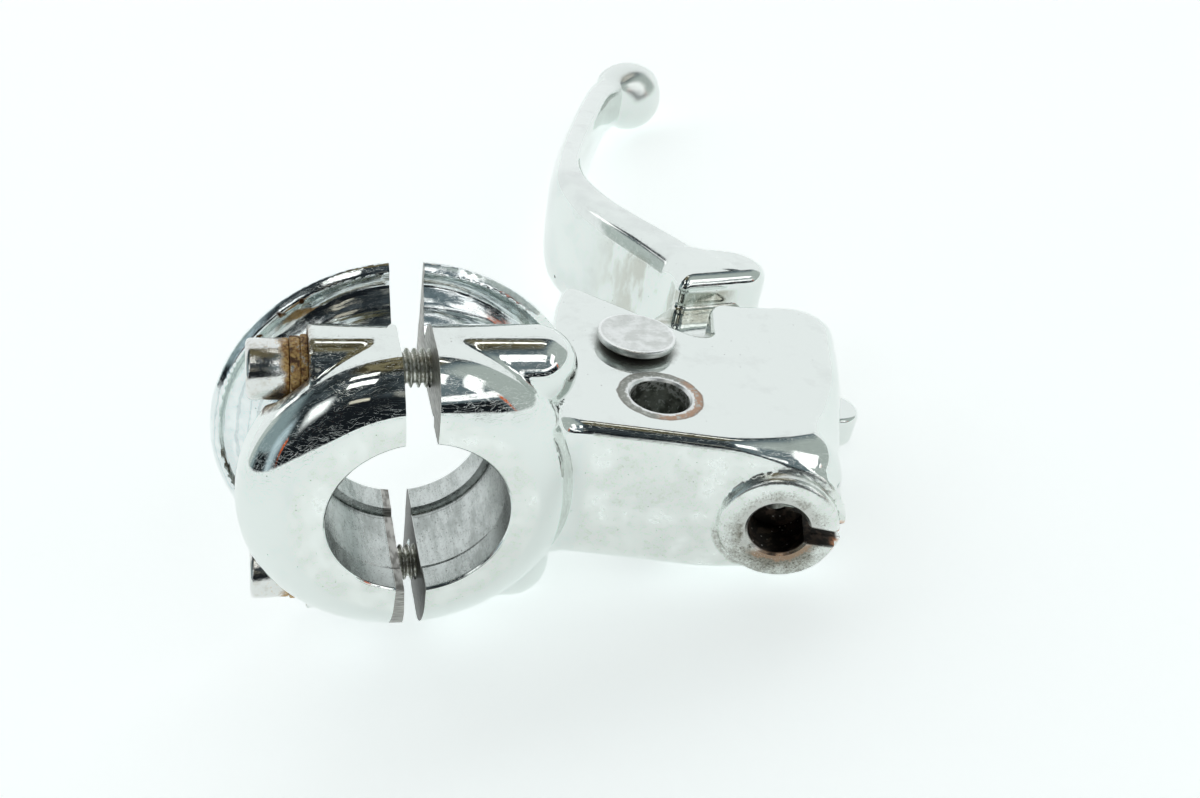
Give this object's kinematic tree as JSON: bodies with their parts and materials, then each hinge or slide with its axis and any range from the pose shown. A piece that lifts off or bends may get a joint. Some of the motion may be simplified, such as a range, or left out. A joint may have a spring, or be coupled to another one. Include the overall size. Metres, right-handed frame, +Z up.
{
  "type": "clutch lever",
  "caption": "Chrome cable clutch lever with ball end, pivoted in a split handlebar bracket with a dished clamp flange, mirror stem hole and slotted cable seat.",
  "frame": {"origin": "on the handlebar's axis, at the inboard face of the clamp", "axes": "+Y along the handlebar towards its end, +X forward towards the lever's pivot, +Z up, towards the head of the pivot pin"},
  "size_m": [0.1177, 0.1999, 0.0554],
  "materials": {
    "bracket_chrome": "polished, worn at the holes",
    "cap_chrome": "polished",
    "lever_chrome": "polished",
    "screw_steel": "plated, with rust",
    "washer_steel": "plated, rusty",
    "pin_steel": "satin",
    "bushing_bronze": "dull",
    "clip_steel": "oiled",
    "anchor_steel": "satin"
  },
  "bodies": {
    "housing": {"bracket": "bracket_chrome", "pivot_pin": "pin_steel", "pin_clip": "clip_steel"},
    "cap": {"clamp_cap": "cap_chrome", "flat_washer_upper": "washer_steel", "flat_washer_lower": "washer_steel", "lock_washer_upper": "washer_steel", "lock_washer_lower": "washer_steel"},
    "screw_upper": {"clamp_screw_upper": "screw_steel"},
    "screw_lower": {"clamp_screw_lower": "screw_steel"},
    "lever": {"lever": "lever_chrome", "pivot_bushing": "bushing_bronze"},
    "anchor": {"cable_anchor": "anchor_steel"}
  },
  "joints": [
    {"name": "lever_pivot", "type": "hinge", "parent": "housing", "child": "lever", "pos_m": [0.0365, 0.0267, 0], "axis": [0, 0, 1], "range_deg": [-20, 8]},
    {"name": "anchor_turn", "type": "hinge", "parent": "lever", "child": "anchor", "pos_m": [0.06105, 0.02103, 0], "axis": [0, 0, 1], "range_deg": [-8, 20]},
    {"name": "cap_slide", "type": "slide", "parent": "housing", "child": "cap", "axis": [1, 0, 0], "range_m": [0, 0.0022]},
    {"name": "screw_upper_turn", "type": "hinge", "parent": "housing", "child": "screw_upper", "pos_m": [0, 0.0115, 0.0175], "axis": [1, 0, 0], "range_deg": [-90, 90]},
    {"name": "screw_lower_turn", "type": "hinge", "parent": "housing", "child": "screw_lower", "pos_m": [0, 0.0115, -0.0175], "axis": [1, 0, 0], "range_deg": [-90, 90]}
  ]
}
